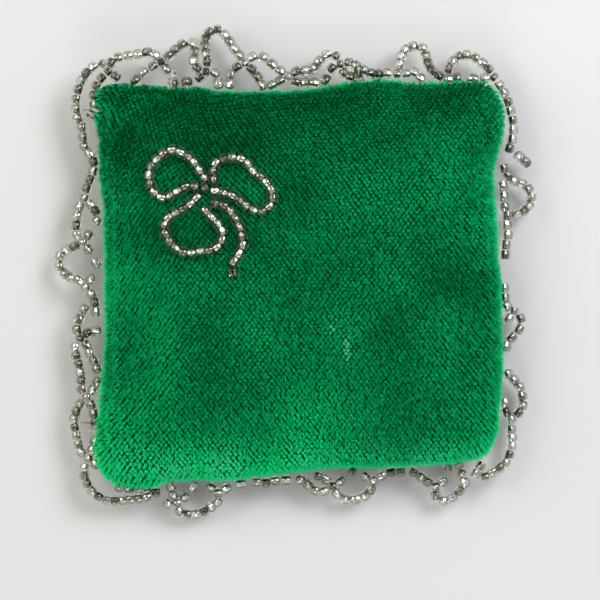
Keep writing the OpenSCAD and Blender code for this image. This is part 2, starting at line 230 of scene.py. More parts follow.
def looseParts(name):
    # centre and hole direction of each separate bead in a node
    mesh = frame["nodes"][name].data
    edges = np.empty(len(mesh.edges) * 2, np.int32)
    mesh.edges.foreach_get("vertices", edges)
    spots, merged = np.unique(np.round(meshPoints(mesh), 7), axis=0, return_inverse=True)
    a, b = merged.ravel()[edges.reshape(-1, 2)].T
    label = np.arange(len(spots))
    while True:
        low = np.minimum(label[a], label[b])
        fresh = label.copy()
        np.minimum.at(fresh, a, low)
        np.minimum.at(fresh, b, low)
        fresh = fresh[fresh]
        if (fresh == label).all():
            break
        label = fresh
    found = []
    for part in np.unique(label):
        points = spots[label == part]
        centre = (points.max(0) + points.min(0)) / 2
        values, vectors = np.linalg.eigh(np.cov((points - centre).T))
        odd = 0 if values[1] - values[0] > values[2] - values[1] else 2
        axis = vectors[:, odd]
        along = (points - centre) @ axis
        found.append((centre + axis * (along.max() + along.min()) / 2, axis))
    return found


# centre and hole direction of every bead, by node
beadPlaces = {g["node"]: looseParts(g["node"]) for g in frame["record"]["subparts"]
              if g["material_slot"] == "silver_lined_bead"}
beadCentres = np.array([centre for places in beadPlaces.values() for centre, axis in places])


def treeOf(points):
    tree = KDTree(len(points))
    for index, point in enumerate(points):
        tree.insert(point, index)
    tree.balance()
    return tree


def passedCentres(steps):
    # every place a bead takes as the nets fold and the loose end swings
    places = list(beadCentres)
    for joint in frame["joints"]:
        pivot, axis = Vector(joint["pos_m"]), Vector(joint["axis"])
        moving = [centre for name, found in beadPlaces.items()
                  if bodyOf[name] == joint["child"] for centre, hole in found]
        for angle in np.linspace(*joint["range_deg"], steps):
            turn = Matrix.Rotation(math.radians(angle), 3, axis)
            places += [np.array(turn @ (Vector(c) - pivot) + pivot) for c in moving]
    return np.array(places)


beadPaths = passedCentres(steps=15)
beadPathTree = treeOf(beadPaths)
print("beads:", len(beadCentres))


# materials

def newMaterial(name, **fixed):
    material = bpy.data.materials.new(name)
    material.use_nodes = True
    shader = material.node_tree.nodes["Principled BSDF"]
    for socket, value in fixed.items():
        shader.inputs[socket.replace("_", " ")].default_value = value
    return material, material.node_tree.nodes, material.node_tree.links, shader


def newGroup(name, inputs, outputs):
    group = bpy.data.node_groups.new(name, "ShaderNodeTree")
    for label, kind, value in inputs:
        socket = group.interface.new_socket(name=label, in_out="INPUT", socket_type=kind)
        socket.default_value = value
    for label, kind in outputs:
        group.interface.new_socket(name=label, in_out="OUTPUT", socket_type=kind)
    given, out = group.nodes.new("NodeGroupInput"), group.nodes.new("NodeGroupOutput")
    return group, group.nodes, group.links, given, out


def dyeGroup():
    # uneven dye: fine flecks between two colours
    group, nodes, links, given, out = newGroup(
        "unevenDye",
        [("Deep", "NodeSocketColor", (0, 0, 0, 1)), ("Bright", "NodeSocketColor", (1, 1, 1, 1)),
         ("Mask", "NodeSocketFloat", 0.5), ("Fleck", "NodeSocketFloat", 0.3),
         ("Scale", "NodeSocketFloat", 900.0)],
        [("Color", "NodeSocketColor"), ("Roughness", "NodeSocketFloat")])
    where = newNode(nodes, "TexCoord")
    noise = newNode(nodes, "TexNoise", {"Detail": 2})
    centred = newNode(nodes, "Math", {1: 0.5}, operation="SUBTRACT")
    scaled = newNode(nodes, "Math", operation="MULTIPLY_ADD")
    clamp = newNode(nodes, "Clamp")
    mix = newNode(nodes, "Mix", data_type="RGBA")
    rough = newNode(nodes, "MapRange", {"To Min": 0.95, "To Max": 0.7})
    wire(links,
         (where.outputs["Object"], noise.inputs["Vector"]),
         (given.outputs["Scale"], noise.inputs["Scale"]),
         (noise.outputs["Fac"], centred.inputs[0]),
         (centred.outputs[0], scaled.inputs[0]),
         (given.outputs["Fleck"], scaled.inputs[1]),
         (given.outputs["Mask"], scaled.inputs[2]),
         (scaled.outputs[0], clamp.inputs["Value"]),
         (clamp.outputs[0], mix.inputs["Factor"]),
         (given.outputs["Deep"], mix.inputs["A"]),
         (given.outputs["Bright"], mix.inputs["B"]),
         (mix.outputs["Result"], out.inputs["Color"]),
         (clamp.outputs[0], rough.inputs["Value"]),
         (rough.outputs["Result"], out.inputs["Roughness"]))
    return group


def weaveGroup():
    # plain weave: two crossed sets of yarns, as a height and a mask
    group, nodes, links, given, out = newGroup(
        "plainWeave", [("Yarns", "NodeSocketFloat", 2200.0)],
        [("Height", "NodeSocketFloat"), ("Mask", "NodeSocketFloat")])
    where = newNode(nodes, "TexCoord")
    mask = newNode(nodes, "Math", operation="MULTIPLY")
    height = newNode(nodes, "Math", operation="MAXIMUM")
    for index, axis in enumerate("XY"):
        wave = newNode(nodes, "TexWave", {"Distortion": 0.6, "Detail": 1}, bands_direction=axis)
        wire(links,
             (where.outputs["Object"], wave.inputs["Vector"]),
             (given.outputs["Yarns"], wave.inputs["Scale"]),
             (wave.outputs["Fac"], mask.inputs[index]),
             (wave.outputs["Fac"], height.inputs[index]))
    wire(links, (height.outputs[0], out.inputs["Height"]), (mask.outputs[0], out.inputs["Mask"]))
    return group


unevenDye = dyeGroup()
plainWeave = weaveGroup()


def dyeNode(nodes, deep, bright, fleck, scale):
    colours = {"Deep": (*deep, 1), "Bright": (*bright, 1), "Fleck": fleck, "Scale": scale}
    return newNode(nodes, "Group", colours, node_tree=unevenDye)


def velvetMaterial(name, deep, bright, wearAndSheenColour):
    material, nodes, links, shader = newMaterial(
        name, Sheen_Weight=0.4, Sheen_Roughness=0.45, Sheen_Tint=(0.01, 1.0, 0.5, 1),
        Specular_IOR_Level=0.03)
    tone, tip, worn = [newNode(nodes, "Attribute", attribute_name=label)
                       for label in ("tone", "tip", "worn")]
    # tone times the root-to-tip share: painted shade, the roots darker down in the pile
    depth = newNode(nodes, "Math", operation="MULTIPLY")
    dye = dyeNode(nodes, deep, bright, 0.55, 2600.0)
    # the rubbed colour stands for real wear, and also for painted sheen on the steep edges and in the bottom band
    wearAndSheenMix = newNode(nodes, "Mix", {"B": (*wearAndSheenColour, 1)}, data_type="RGBA")
    wire(links,
         (tone.outputs["Fac"], depth.inputs[0]),
         (tip.outputs["Fac"], depth.inputs[1]),
         (depth.outputs[0], dye.inputs["Mask"]),
         (worn.outputs["Fac"], wearAndSheenMix.inputs["Factor"]),
         (dye.outputs["Color"], wearAndSheenMix.inputs["A"]),
         (wearAndSheenMix.outputs["Result"], shader.inputs["Base Color"]),
         (dye.outputs["Roughness"], shader.inputs["Roughness"]))
    return material


def clothMaterial(name, deep, bright, yarns, bump, mask=0.5, sheen=0.15):
    material, nodes, links, shader = newMaterial(
        name, Sheen_Weight=sheen, Specular_IOR_Level=sheen)
    dye = dyeNode(nodes, deep, bright, 0.5, 500.0)
    weave = newNode(nodes, "Group", node_tree=plainWeave)
    weave.inputs["Yarns"].default_value = yarns
    yarnMask = newNode(nodes, "Math", {1: mask}, operation="MULTIPLY")
    ridge = newNode(nodes, "Bump", {"Strength": bump, "Distance": 0.2 * mm})
    wire(links,
         (weave.outputs["Mask"], yarnMask.inputs[0]),
         (yarnMask.outputs[0], dye.inputs["Mask"]),
         (weave.outputs["Height"], ridge.inputs["Height"]),
         (dye.outputs["Color"], shader.inputs["Base Color"]),
         (dye.outputs["Roughness"], shader.inputs["Roughness"]),
         (ridge.outputs["Normal"], shader.inputs["Normal"]))
    return material


def threadMaterial(name, deep, bright):
    material, nodes, links, shader = newMaterial(name, Sheen_Weight=0.1)
    dye = dyeNode(nodes, deep, bright, 0.6, 1800.0)
    where = newNode(nodes, "TexCoord")
    twist = newNode(nodes, "TexWave", {"Scale": 2500}, bands_direction="DIAGONAL")
    ridge = newNode(nodes, "Bump", {"Strength": 0.5, "Distance": 0.1 * mm})
    wire(links,
         (where.outputs["Object"], twist.inputs["Vector"]),
         (twist.outputs["Fac"], ridge.inputs["Height"]),
         (dye.outputs["Color"], shader.inputs["Base Color"]),
         (dye.outputs["Roughness"], shader.inputs["Roughness"]),
         (ridge.outputs["Normal"], shader.inputs["Normal"]))
    return material


def glassMaterial():
    # clear glass, with painted shade at its rims: the colour turns dark where the surface is seen edge-on
    material, nodes, links, shader = newMaterial(
        "clearBeadGlass", Transmission_Weight=1.0, IOR=1.48, Sheen_Weight=0.6,
        Sheen_Roughness=0.25)
    tone = newNode(nodes, "Attribute", attribute_name="tone")
    tint = newRamp(nodes, (0, (0.78, 0.79, 0.71)), (1, (0.96, 0.96, 0.93)))
    slope = newNode(nodes, "LayerWeight", {"Blend": 0.5})
    rim = newNode(nodes, "MapRange", {"From Min": 0.45, "From Max": 0.95, "To Max": 0.85})
    rimShade = newNode(nodes, "Mix", {"B": (0.06, 0.058, 0.045, 1)}, data_type="RGBA")
    where = newNode(nodes, "TexCoord")
    haze = newNode(nodes, "TexNoise", {"Scale": 1500})
    spread = newNode(nodes, "MapRange", {"From Min": 0.45, "From Max": 0.8,
                                         "To Min": 0.03, "To Max": 0.16})
    wire(links,
         (tone.outputs["Fac"], tint.inputs["Fac"]),
         (slope.outputs["Facing"], rim.inputs["Value"]),
         (rim.outputs["Result"], rimShade.inputs["Factor"]),
         (tint.outputs["Color"], rimShade.inputs["A"]),
         (rimShade.outputs["Result"], shader.inputs["Base Color"]),
         (where.outputs["Object"], haze.inputs["Vector"]),
         (haze.outputs["Fac"], spread.inputs["Value"]),
         (spread.outputs["Result"], shader.inputs["Roughness"]))
    return material


def boreMaterial():
    # silvered bore, bright where it is sound and grey-olive where it has tarnished
    material, nodes, links, shader = newMaterial("silveredBore", Metallic=1.0)
    tone = newNode(nodes, "Attribute", attribute_name="tone")
    where = newNode(nodes, "TexCoord")
    spots = newNode(nodes, "TexNoise", {"Scale": 1700, "Detail": 3})
    both = newNode(nodes, "Math", operation="MULTIPLY")
    tarnish = newRamp(nodes, (0.08, (0.13, 0.125, 0.10)), (0.42, (0.91, 0.905, 0.85)),
                      (0.22, (0.38, 0.37, 0.30)))
    rough = newNode(nodes, "MapRange", {"To Min": 0.3, "To Max": 0.08})
    wire(links,
         (where.outputs["Object"], spots.inputs["Vector"]),
         (spots.outputs["Fac"], both.inputs[0]),
         (tone.outputs["Fac"], both.inputs[1]),
         (both.outputs[0], tarnish.inputs["Fac"]),
         (tarnish.outputs["Color"], shader.inputs["Base Color"]),
         (tone.outputs["Fac"], rough.inputs["Value"]),
         (rough.outputs["Result"], shader.inputs["Roughness"]))
    return material


def makeFloor(setup):
    material, nodes, links, shader = newMaterial(
        "paleCard", Specular_IOR_Level=setup["specular"], Base_Color=(*setup["colour"], 1),
        Roughness=setup["roughness"])
    half = setup["size"] / 2
    corners = [(-half, -half, 0), (half, -half, 0), (half, half, 0), (-half, half, 0)]
    floor = meshPiece("floor", corners, [(0, 1, 2), (0, 2, 3)])
    floor.data.materials.append(material)


makeFloor(floorSetup)
finish = {
    "pile": velvetMaterial("emeraldPile", (0.0008, 0.115, 0.026), (0.003, 0.90, 0.29),
                           (0.10, 0.94, 0.54)),
    # the ground's dark green is partly its own dye and partly painted shade, matching the shaded pits between the
    # tufts
    "ground": clothMaterial("velvetGround", (0.0, 0.07, 0.016), (0.0, 0.16, 0.045),
                            yarns=1400.0, bump=0.5, sheen=0.0),
    "back": clothMaterial("backingCloth", (0.004, 0.06, 0.03), (0.02, 0.20, 0.105),
                          yarns=1100.0, bump=0.6, mask=1.2),
    "wadding": clothMaterial("cottonWadding", (0.55, 0.52, 0.46), (0.82, 0.80, 0.74),
                             yarns=300.0, bump=0.9, mask=1.0),
    "seamThread": threadMaterial("greenSewingThread", (0.003, 0.05, 0.025),
                                 (0.015, 0.17, 0.085)),
    "beadThread": threadMaterial("waxedBeadThread", (0.30, 0.29, 0.25), (0.66, 0.65, 0.60)),
    "glass": glassMaterial(),
    "bore": boreMaterial(),
}
print("materials made")


# shape of the stuffed cushion

pad = {
    "waist": 6.5 * mm,        # height of the widest line
    "columns": 384,
    "middleRows": 20,         # rings over the flat middle of each face
    "edgeRows": 34,           # rings from there round the edge to the seam
    "flatShare": 0.78,        # share of the way out that counts as the middle
    "sideCurve": 0.4,
    "crownCurve": 0.9,
    "underCurve": 1.06,
    "groove": 0.45 * mm,      # how far the seam pulls in
    "grooveWidth": 0.6 * mm,
    "gather": 0.18 * mm,      # small puckers along the seam
    "gatherReach": 4.0 * mm,
    "gathers": 61,
    "gatherDrift": 1.7,       # makes the puckers unevenly spaced, in so many waves
    "driftWaves": 5,
    "lump": 0.30 * mm,        # soft unevenness of the stuffing, over the upper face
    "lumpSize": 15 * mm,
    "lumpFrom": 0.1,
    "lumpFull": 0.9,
    "foldFull": 0.5,
    "swellFrom": 0.6,         # the sides bulge past the plain form from this share of the way out
    "swellLeft": 1.1 * mm,
    "swellRight": 0.4 * mm,
    "swellTop": 0.6 * mm,
    "swellBottom": 0.2 * mm,
    "beadRoom": 1.36 * mm,    # the cloth dents where a bead presses on it
    "beadNear": 2.2 * mm,
    "dentReach": 2.5 * mm,
    "dentPasses": 2,
}
waistScan = {"from": 0.1, "heights": (-0.7 * mm, 0.7 * mm), "smooth": 4, "spread": 1.6}
peak = {"place": (-38.5 * mm, 37 * mm), "reach": 8 * mm, "push": (-1.0 * mm, 0.6 * mm)}
folds = [                     # from, to, depth and half width of each soft fold, in millimetres
    ((-29.5, 38.0), (-33.5, 31.5), 0.9, 2.2),
    ((4.3, -33.0), (4.6, -37.5), 0.6, 0.45),
    ((5.8, -34.0), (5.6, -38.0), 0.5, 0.4),
    ((8.6, -34.5), (8.2, -38.0), 0.4, 0.4),
    ((17.8, 12.0), (18.4, -16.0), 0.35, 3.2),
]


def clothRadius(columns):
    # distance from the middle to the cloth at the waist, measured on the frame
    points, faces = [], []
    for name in ("front_panel", "back_panel"):
        mesh = frame["nodes"][name].data
        start = len(points)
        points += [v.co.copy() for v in mesh.vertices]
        faces += [[start + i for i in p.vertices] for p in mesh.polygons]
    tree = BVHTree.FromPolygons(points, faces)
    radius = []
    for k in range(columns):
        turn = 2 * math.pi * k / columns
        out = Vector((math.cos(turn), math.sin(turn), 0))
        found = 0.0
        for height in waistScan["heights"]:
            start = out * waistScan["from"] + Vector((0, 0, pad["waist"] + height))
            hit = tree.ray_cast(start, -out)[0]
            found = max(found, math.hypot(hit.x, hit.y))
        radius.append(found)
    reach = waistScan["smooth"]
    spread = np.exp(-0.5 * (np.arange(-reach, reach + 1) / waistScan["spread"]) ** 2)
    wide = np.concatenate([radius[-reach:], radius, radius[:reach]])
    return np.convolve(wide, spread / spread.sum(), "valid")


def seamPlane():
    # the seam lies on a slightly tilted plane: z = a + b x + c y
    points = meshPoints(frame["nodes"]["seam_thread"].data)
    known = np.column_stack([np.ones(len(points)), points[:, :2]])
    return np.linalg.lstsq(known, points[:, 2], rcond=None)[0]


seam = seamPlane()
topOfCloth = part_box("front_panel")[1].z


def seamHeight(x, y):
    return seam[0] + seam[1] * x + seam[2] * y


def bulge(values, low, high):
    out = np.abs(values) / np.abs(values).max()
    share = np.clip((out - pad["swellFrom"]) / (1 - pad["swellFrom"]), 0, 1)
    return values + np.where(values < 0, -low, high) * share ** 2


def distanceToLine(points, a, b):
    # the ends of the line are in millimetres
    a, b = np.array(a) * mm, np.array(b) * mm
    share = np.clip(((points - a) @ (b - a)) / ((b - a) @ (b - a)), 0, 1)
    return np.linalg.norm(points - a - share[..., None] * (b - a), axis=-1)


def padSurface():
    # grid of points [row, column] over the whole cushion, from the front's middle to the back's
    waist, flat, side, crown = pad["waist"], pad["flatShare"], pad["sideCurve"], pad["crownCurve"]
    radius = clothRadius(pad["columns"])[None, :]
    turn = 2 * np.pi * np.arange(pad["columns"])[None, :] / pad["columns"]
    up = seamHeight(radius * np.cos(turn), radius * np.sin(turn)) - waist
    frontRise, backRise = topOfCloth - waist, waist * pad["underCurve"]
    seamLift = (np.abs(up) / np.where(up > 0, frontRise, backRise)) ** (1 / crown)
    seamTilt = np.sign(up) * np.arcsin(seamLift)
    middle = np.arccos(np.linspace(0, flat, pad["middleRows"] + 1)[:-1] ** (1 / side))
    middle = middle[:, None] + 0 * turn
    start = math.acos(flat ** (1 / side))
    share = np.linspace(0, 1, pad["edgeRows"] + 1)[:, None]
    front = start + (seamTilt - start) * share
    back = seamTilt + (-start - seamTilt) * share
    tilt = np.concatenate([middle, front, back[1:], -middle[::-1]])
    scale = np.cos(tilt) ** side
    scale[[0, -1]] = 0
    lift = np.sign(tilt) * np.abs(np.sin(tilt)) ** crown
    x = bulge(radius * scale * np.cos(turn), pad["swellLeft"], pad["swellRight"])
    y = bulge(radius * scale * np.sin(turn), pad["swellBottom"], pad["swellTop"])
    away = (x - peak["place"][0]) ** 2 + (y - peak["place"][1]) ** 2
    near = np.exp(-away / peak["reach"] ** 2)
    x, y = x + near * peak["push"][0], y + near * peak["push"][1]
    z = waist + np.where(tilt > 0, frontRise, backRise) * lift
    drop = z - seamHeight(x, y)
    drift = pad["gatherDrift"] * np.sin(pad["driftWaves"] * turn)
    ripple = 0.5 + 0.5 * np.sin(turn * pad["gathers"] + drift)
    pull = pad["groove"] * np.exp(-(drop / pad["grooveWidth"]) ** 2)
    pull = pull + pad["gather"] * ripple * np.exp(-(drop / pad["gatherReach"]) ** 2)
    x, y = x - pull * np.cos(turn), y - pull * np.sin(turn)
    upper = np.clip((tilt - pad["lumpFrom"]) / pad["lumpFull"], 0, 1)
    z = z - pad["lump"] * upper * cloud(x, y, pad["lumpSize"], 5)
    for a, b, depth, width in folds:
        far = distanceToLine(np.stack([x, y], -1), a, b) / (width * mm)
        z = z - depth * mm * np.exp(-far ** 2) * np.clip(tilt / pad["foldFull"], 0, 1)
    return np.stack([x, y, np.maximum(z, 0)], -1)


cover = {
    "grow": 10.0,             # the cloth is blown up on a copy so many times the size
    "voxel": 1.3 * mm, "pressure": 4.0, "shrink": -0.05, "frames": 20,
    "base": 1.0 * mm,         # the cloth is held below this height
    "neighbours": 4, "nearest": 0.1 * mm, "smooth": 2,
    "broad": 81,              # passes of smoothing that leave only the swelling
    "gain": 0.6, "most": 0.25 * mm, "stillRows": 8,
}


def blurred(values, times):
    for step in range(times):
        padded = np.concatenate([values[:1], values, values[-1:]])
        values = (padded[:-2] + 2 * values + padded[2:]) / 4
        values = (np.roll(values, 1, 1) + 2 * values + np.roll(values, -1, 1)) / 4
    return values


def spreadInMm(values):
    return np.percentile(values / mm, [1, 25, 50, 75, 99]).round(2)


def wrinkled(grid, facing):
    # blows the cover up as cloth on its base, and keeps the wrinkles without the swelling
    grow, scene = cover["grow"], bpy.context.scene
    grown = grid * grow
    plain = meshPiece("plainCover", *closedRings(grown[1:-1], grown[0, 0], grown[-1, 0], False))
    remesh = plain.modifiers.new("even", "REMESH")
    remesh.mode = "VOXEL"
    remesh.voxel_size = cover["voxel"] * grow
    shown = plain.evaluated_get(bpy.context.evaluated_depsgraph_get())
    sheet = bpy.data.objects.new("coverCloth", bpy.data.meshes.new_from_object(shown))
    scene.collection.objects.link(sheet)
    before = meshPoints(sheet.data)
    base = sheet.vertex_groups.new(name="base")
    base.add(np.nonzero(before[:, 2] < cover["base"] * grow)[0].tolist(), 1.0, "REPLACE")
    cloth = sheet.modifiers.new("cloth", "CLOTH")
    cloth.settings.vertex_group_mass = "base"
    cloth.settings.use_pressure = True
    cloth.settings.uniform_pressure_force = cover["pressure"]
    cloth.settings.shrink_min = cover["shrink"]
    cloth.settings.effector_weights.gravity = 0
    cloth.point_cache.frame_end = cover["frames"]
    for step in range(1, cover["frames"] + 1):
        scene.frame_set(step)
    after = meshPoints(sheet.evaluated_get(bpy.context.evaluated_depsgraph_get()).data)
    moved = (after - before) / grow
    tree = treeOf(before / grow)
    lift = []
    for point, out in zip(grid.reshape(-1, 3), facing.reshape(-1, 3)):
        near = tree.find_n(point, cover["neighbours"])
        weights = np.array([1 / (far + cover["nearest"]) for co, other, far in near])
        steps = moved[[other for co, other, far in near]] * weights[:, None]
        lift.append(steps.sum(0) / weights.sum() @ out)
    lift = blurred(np.array(lift).reshape(grid.shape[:2]), cover["smooth"])
    print("cloth moved by", spreadInMm(lift), "mm")
    lift = (lift - blurred(lift, cover["broad"])) * cover["gain"]
    print("wrinkles", spreadInMm(lift), "mm")
    lift = np.clip(lift, -cover["most"], cover["most"])
    lift[:cover["stillRows"]] *= np.linspace(0, 1, cover["stillRows"])[:, None]
    scene.frame_set(1)
    for thing in (sheet, plain):
        bpy.data.objects.remove(thing, do_unlink=True)
    result = grid + facing * lift[..., None]
    result[..., 2] = np.maximum(result[..., 2], 0)
    return result


def dented(grid, facing):
    # moves the cloth inwards wherever it would pass through a bead
    flat, out = grid.reshape(-1, 3).copy(), facing.reshape(-1, 3)
    tree = treeOf(flat)
    room = pad["beadRoom"] ** 2
    for centre in [c for c in beadPaths if tree.find(c)[2] < pad["beadNear"]]:
        near = np.nonzero(np.abs(flat - centre).max(1) < pad["dentReach"])[0]
        apart = flat[near] - centre
        height = (apart * out[near]).sum(1)
        across = (apart ** 2).sum(1) - height ** 2
        move = np.where(across < room, height + np.sqrt(np.maximum(room - across, 0)), 0)
        flat[near] -= out[near] * np.maximum(move, 0)[:, None]
    return flat.reshape(grid.shape)


def sample(grid, row, column):
    # smooth look-up in a grid that closes on itself across its columns
    rows, columns = grid.shape[:2]
    r0 = np.clip(np.floor(row).astype(int), 0, rows - 2)
    c0 = np.floor(column).astype(int)
    fr, fc = (row - r0)[:, None], (column - c0)[:, None]
    a, b = grid[r0, c0 % columns], grid[r0, (c0 + 1) % columns]
    c, d = grid[r0 + 1, c0 % columns], grid[r0 + 1, (c0 + 1) % columns]
    return (a * (1 - fc) + b * fc) * (1 - fr) + (c * (1 - fc) + d * fc) * fr


def surfaceNormals(grid):
    # the rows next to the middle of the front are turned a little more upwards
    along = np.roll(grid, -1, 1) - np.roll(grid, 1, 1)
    down = np.gradient(grid, axis=0)
    facing = unit(np.cross(down, along))
    facing[0] = (0, 0, 1)
    facing[-1] = (0, 0, -1)
    facing[1:4] = unit(facing[1:4] + np.array([0, 0, 2.0]))
    return facing


surface = padSurface()
seamRow = pad["middleRows"] + pad["edgeRows"]
print("cushion surface:", surface.shape[:2], "seam at row", seamRow)
surface = wrinkled(surface, surfaceNormals(surface))
for again in range(pad["dentPasses"]):
    surface = dented(surface, surfaceNormals(surface))
normals = surfaceNormals(surface)
rowSteps = np.linalg.norm(np.diff(surface, axis=0), axis=-1)
arc = np.concatenate([np.zeros((1, pad["columns"])), np.cumsum(rowSteps, axis=0)])


# beads

beadShape = {
    "radius": 1.06 * mm, "half": 0.70 * mm, "bore": 0.42 * mm, "lip": 0.13 * mm,
    "round": 0.5 * mm, "sides": 24, "uneven": 0.03, "seed": 700,
    "liningOut": 0.43 * mm, "liningIn": 0.37 * mm, "liningHalf": 0.68 * mm,
    "gap": 0.20 * mm, "longest": 0.93 * mm, "shortest": 0.66 * mm,
    "neighbours": 3 * mm, "inLine": 0.75, "beside": 1.9 * mm, "plain": 1.0 * mm,
    "besideCore": 0.75 * mm,
}
liningCorner = {"turns": (0, 27, 45, 63), "reaches": (1, 1.10, 1.20, 1.10)}
toneRange = {"glass": (0, 1), "bore": (0.14, 0.95)}


def roundedCorner(r, z, radius, first, last, steps):
    turns = np.radians(np.linspace(first, last, steps))
    return [(r + radius * math.cos(turn), z + radius * math.sin(turn)) for turn in turns]


def beadProfile(shape):
    # closed section of the glass, as distances from the hole's axis and along it
    lip, curve, half = shape["lip"], shape["round"], shape["half"]
    points = roundedCorner(shape["bore"] + lip, half - lip, lip, 180, 90, 4)
    points += roundedCorner(shape["radius"] - curve, half - curve, curve, 90, 0, 6)
    return np.array(points + [(r, -z) for r, z in reversed(points)])


def glassPart(shape):
    profile, sides = beadProfile(shape), shape["sides"]
    turn = 2 * np.pi * np.arange(sides) / sides
    x, y = profile[:, :1] * np.cos(turn), profile[:, :1] * np.sin(turn)
    z = np.broadcast_to(profile[:, 1:], x.shape)
    points = np.stack([x, y, z], -1).reshape(-1, 3)
    return points, gridTriangles(len(profile), sides, wrapRows=True)[:, ::-1]


def liningPart(shape):
    # thin square tube with softened corners, as silvered bores are
    turn = np.radians(np.array(liningCorner["turns"]))
    turns = np.concatenate([turn + k * np.pi / 2 for k in range(4)])
    reaches = np.tile(liningCorner["reaches"], 4)
    outer, inner, half = shape["liningOut"], shape["liningIn"], shape["liningHalf"]
    points = [np.stack([r * reaches * np.cos(turns), r * reaches * np.sin(turns),
                        np.full(len(turns), z)], -1)
              for r, z in ((outer, half), (outer, -half), (inner, -half), (inner, half))]
    return np.concatenate(points), gridTriangles(4, len(turns), wrapRows=True)[:, ::-1]


def turned(points, centre, axis, roll, size, stretch):
    offAxis = [0.31, 0.22, 0.93]
    side = unit(np.cross(axis, offAxis))
    up = np.cross(axis, side)
    side, up = (side * math.cos(roll) + up * math.sin(roll),
                up * math.cos(roll) - side * math.sin(roll))
    across = size * (points[:, :1] * side + points[:, 1:2] * up)
    return centre + across + stretch * points[:, 2:] * axis


def beadHalf(centre, axis):
    # half length that nearly meets the next beads on the thread and clears the others
    apart = beadCentres - centre
    far = np.linalg.norm(apart, axis=1)
    others = (np.abs(apart).max(1) > 0.01 * mm) & (far < beadShape["neighbours"])
    far, along = far[others], np.abs(apart[others] @ axis)
    across = np.sqrt(np.maximum(far ** 2 - along ** 2, 0))
    half = beadShape["longest"]
    inLine = along > beadShape["inLine"] * far
    if inLine.any():
        half = min(half, (far[inLine].min() - beadShape["gap"]) / 2)
    beside = ~inLine & (across < beadShape["beside"])
    if beside.any():
        rim = np.maximum(across[beside] - beadShape["besideCore"], 0)
        reach = np.sqrt(np.maximum(beadShape["plain"] ** 2 - rim ** 2, 0))
        half = min(half, (along[beside] - reach).min())
    return max(half, beadShape["shortest"])


def makeBeads(placesByNode):
    forms = {"glass": glassPart(beadShape), "bore": liningPart(beadShape)}
    for index, (name, places) in enumerate(placesByNode.items()):
        draw = np.random.default_rng(beadShape["seed"] + index)
        made, tones = {part: [] for part in forms}, {part: [] for part in forms}
        for centre, axis in places:
            roll = draw.uniform(0, math.pi / 2)
            size = 1 + draw.uniform(-1, 0.4) * beadShape["uneven"]
            stretch = beadHalf(centre, axis) / beadShape["half"]
            for part, (points, triangles) in forms.items():
                made[part].append((turned(points, centre, axis, roll, size, stretch), triangles))
                tones[part].append(np.full(len(points), draw.uniform(*toneRange[part])))
        for part in forms:
            points, triangles = joined(made[part])
            tone = np.concatenate(tones[part])
            piece = meshPiece(name + "_" + part, points, triangles, tone=tone)
            standsFor = [name] if part == "glass" else []
            place(piece, bodyOf[name], "silver_lined_bead", finish[part], *standsFor)


makeBeads(beadPlaces)
print("beads made")


# cloth of the two panels, wadding and seam

panels = {"front": 1.0 * mm, "back": 0.55 * mm, "turnIn": 4 * mm, "edgeGap": 0.22 * mm,
          "innerFrom": 7, "tone": 0.5, "tip": 0.3}
wad = {"depth": 1.5 * mm, "lump": 0.35 * mm, "lumpSize": 3.0 * mm, "fill": 0.8}


def panelPiece(name, side, thick):
    # outer face from its middle to the seam, the edge turned inside, and the inner face back again
    half = slice(None, seamRow + 1) if side > 0 else slice(None, seamRow - 1, -1)
    rows, facing = surface[half], normals[half]
    outer = rows.copy()
    outer[-1, :, 2] += side * panels["edgeGap"]
    inwards = -unit(outer[-1] * [1, 1, 0])
    folded = [outer[-1] + inwards * panels["turnIn"] + [0, 0, side * up] for up in (0, thick)]
    inner = (rows - facing * thick)[:-panels["innerFrom"]]
    rings = np.concatenate([outer[1:], np.stack(folded), inner[:0:-1]])
    points, triangles = closedRings(rings, outer[0, 0], inner[0, 0], side < 0)
    return meshPiece(name, points, triangles, tone=np.full(len(points), panels["tone"]),
                     tip=np.full(len(points), panels["tip"]))


frontCloth = panelPiece("front_velvet_ground", 1, panels["front"])
place(frontCloth, "cushion", "velvet", finish["ground"], "front_panel")
backCloth = panelPiece("back_cloth", -1, panels["back"])
place(backCloth, "cushion", "backing_cloth", finish["back"], "back_panel")


def makeWadding():
    x, y, z = surface[..., 0], surface[..., 1], surface[..., 2]
    lumps = wad["lump"] * cloud(x + z, y - z, wad["lumpSize"], 8)
    inner = surface - normals * (wad["depth"] + lumps[..., None])
    points, triangles = closedRings(inner[1:-1], inner[0, 0], inner[-1, 0], False)
    piece = meshPiece("wadding", points, triangles)
    place(piece, "cushion", "wadding", finish["wadding"], "stuffing")
    return piece


makeWadding()

stitch = {"count": 118, "radius": 0.17 * mm, "sides": 6, "steps": 7, "reach": 0.75 * mm,
          "slant": 0.5 * mm, "proud": 0.16 * mm, "buried": 0.3 * mm, "inGroove": 0.9,
          "jitter": 0.12, "beadRoom": 1.52 * mm, "passes": 4}


def tube(path, radius, sides):
    # round rod through points, closed at both ends
    path = np.asarray(path, float)
    offAxis = [0.13, 0.21, 0.97]
    ahead = unit(np.gradient(path, axis=0))
    side = unit(np.cross(ahead, offAxis))
    up = np.cross(side, ahead)
    turn = 2 * np.pi * np.arange(sides)[None, :, None] / sides
    rings = path[:, None] + radius * (side[:, None] * np.cos(turn) + up[:, None] * np.sin(turn))
    return closedRings(rings, path[0], path[-1], False)


